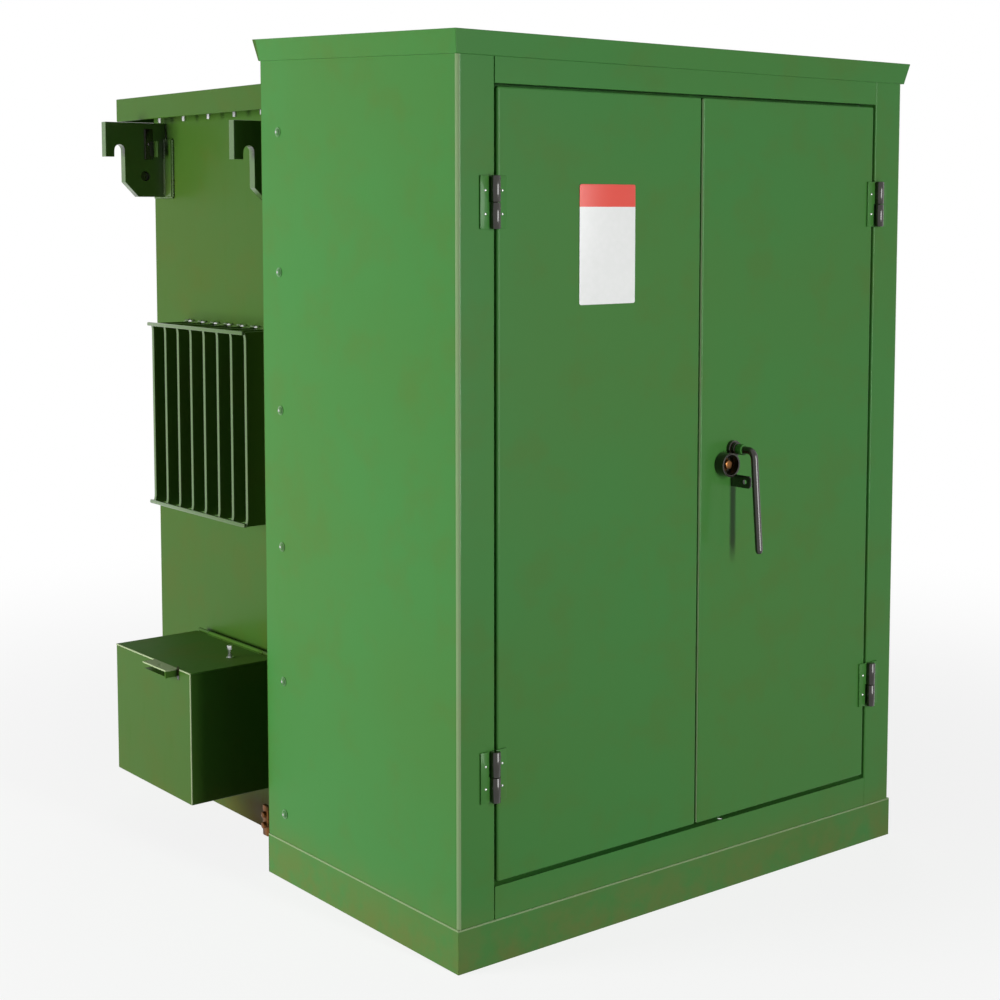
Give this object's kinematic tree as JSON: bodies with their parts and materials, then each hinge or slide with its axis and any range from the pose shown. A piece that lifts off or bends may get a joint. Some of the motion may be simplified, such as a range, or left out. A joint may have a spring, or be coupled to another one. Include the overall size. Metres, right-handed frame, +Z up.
{
  "type": "pad-mounted transformer",
  "caption": "Pad-mounted distribution transformer: double-door terminal cabinet with swing handle in front of an oil tank with cooling fins, lifting hooks and a side valve box.",
  "frame": {"origin": "middle of the footprint, on the surface that the transformer stands on", "axes": "+X towards the right as one faces the doors, -Y out of the doors, +Z up"},
  "size_m": [1.354, 1.523, 1.7306],
  "materials": {
    "green_paint": "semi-gloss green enamel",
    "black_steel": "glossy dark paint",
    "zinc_steel": "zinc plated",
    "bronze": "cast bronze",
    "brass": "turned",
    "cast_metal": "cast",
    "core_steel": "laminated steel",
    "winding": "insulated conductor",
    "gasket_rubber": "matt",
    "fibre_board": "glass-fibre board",
    "black_moulding": "moulded",
    "grey_moulding": "moulded",
    "red_moulding": "cast epoxy",
    "red_paint": "gloss paint"
  },
  "bodies": {
    "housing": {"tank": "green_paint", "tank_cover": "green_paint", "left_radiator": "green_paint", "right_radiator": "green_paint", "left_front_lug": "green_paint", "left_back_lug": "green_paint", "right_front_lug": "green_paint", "right_back_lug": "green_paint", "left_side_panel": "green_paint", "right_side_panel": "green_paint", "cabinet_roof": "green_paint", "door_header": "green_paint", "door_sill": "green_paint", "base_skirt": "green_paint", "valve_box": "green_paint", "left_upper_hinge_post_leaf": "green_paint", "left_lower_hinge_post_leaf": "green_paint", "right_upper_hinge_post_leaf": "green_paint", "right_lower_hinge_post_leaf": "green_paint", "cover_gasket": "gasket_rubber", "core": "core_steel", "core_frame": "core_steel", "coil_a": "winding", "coil_b": "winding", "coil_c": "winding", "hv_lv_barrier": "fibre_board", "hv_bushing_1": "grey_moulding", "hv_bushing_2": "grey_moulding", "hv_bushing_3": "grey_moulding", "fuse_housing_1": "black_moulding", "fuse_housing_2": "black_moulding", "fuse_housing_3": "black_moulding", "lv_bushing_0": "red_moulding", "lv_bushing_1": "red_moulding", "lv_bushing_2": "red_moulding", "lv_bushing_3": "red_moulding", "oil_level_gauge": "cast_metal", "thermometer": "cast_metal", "relief_valve": "brass", "drain_valve": "bronze", "ground_connector": "bronze"},
    "left_door": {"left_door": "green_paint", "left_upper_hinge_door_leaf": "green_paint", "left_lower_hinge_door_leaf": "green_paint"},
    "right_door": {"right_door": "green_paint", "right_upper_hinge_door_leaf": "green_paint", "right_lower_hinge_door_leaf": "green_paint"},
    "handle": {"door_handle": "black_steel", "latch_cam": "zinc_steel"},
    "upper_rod": {"upper_latch_rod": "zinc_steel"},
    "lower_rod": {"lower_latch_rod": "zinc_steel"},
    "penta_bolt": {"penta_bolt": "zinc_steel"},
    "box_lid": {"valve_box_lid": "green_paint"},
    "handwheel": {"drain_handwheel": "red_paint"},
    "fuse_1": {"fuse_holder_1": "grey_moulding"},
    "fuse_2": {"fuse_holder_2": "grey_moulding"},
    "fuse_3": {"fuse_holder_3": "grey_moulding"},
    "switch": {"switch_handle": "red_paint"},
    "tap_changer": {"tap_changer_handle": "black_moulding"},
    "relief_ring": {"relief_pull_ring": "zinc_steel"}
  },
  "joints": [
    {"name": "left_door_hinge", "type": "hinge", "parent": "housing", "child": "left_door", "pos_m": [-0.521, -0.6963, 0.8775], "axis": [0, 0, -1], "range_deg": [0, 120]},
    {"name": "right_door_hinge", "type": "hinge", "parent": "housing", "child": "right_door", "pos_m": [0.521, -0.6963, 0.8775], "axis": [0, 0, 1], "range_deg": [0, 120]},
    {"name": "handle_turn", "type": "hinge", "parent": "right_door", "child": "handle", "pos_m": [0.092, -0.6865, 0.909], "axis": [0, -1, 0], "range_deg": [0, 90]},
    {"name": "upper_rod_slide", "type": "slide", "parent": "right_door", "child": "upper_rod", "axis": [0, 0, 1], "range_m": [0, 0.0225]},
    {"name": "lower_rod_slide", "type": "slide", "parent": "right_door", "child": "lower_rod", "axis": [0, 0, -1], "range_m": [0, 0.0225]},
    {"name": "penta_turn", "type": "hinge", "parent": "right_door", "child": "penta_bolt", "pos_m": [0.0665, -0.6865, 0.8795], "axis": [0, -1, 0], "continuous": true},
    {"name": "box_lid_hinge", "type": "hinge", "parent": "housing", "child": "box_lid", "pos_m": [-0.488, 0.295, 0.4115], "axis": [0, 1, 0], "range_deg": [0, 75]},
    {"name": "handwheel_turn", "type": "hinge", "parent": "housing", "child": "handwheel", "pos_m": [-0.527, 0.295, 0.305], "axis": [0, 0, 1], "continuous": true},
    {"name": "fuse_1_pull", "type": "slide", "parent": "housing", "child": "fuse_1", "axis": [0, -0.866, 0.5], "range_m": [0, 0.24]},
    {"name": "fuse_2_pull", "type": "slide", "parent": "housing", "child": "fuse_2", "axis": [0, -0.866, 0.5], "range_m": [0, 0.24]},
    {"name": "fuse_3_pull", "type": "slide", "parent": "housing", "child": "fuse_3", "axis": [0, -0.866, 0.5], "range_m": [0, 0.24]},
    {"name": "switch_turn", "type": "hinge", "parent": "housing", "child": "switch", "pos_m": [-0.09, -0.0325, 1.3], "axis": [0, -1, 0], "range_deg": [0, 90]},
    {"name": "tap_changer_turn", "type": "hinge", "parent": "housing", "child": "tap_changer", "pos_m": [-0.09, -0.0325, 1.08], "axis": [0, -1, 0], "range_deg": [-72, 72]},
    {"name": "relief_ring_pull", "type": "slide", "parent": "housing", "child": "relief_ring", "axis": [0, -1, 0], "range_m": [0, 0.006], "stiffness_N_per_m": 1500}
  ],
  "couplings": [
    {"joint": "upper_rod_slide", "follows": "handle_turn", "m_per_rad": 0.01404},
    {"joint": "lower_rod_slide", "follows": "handle_turn", "m_per_rad": 0.01404}
  ]
}
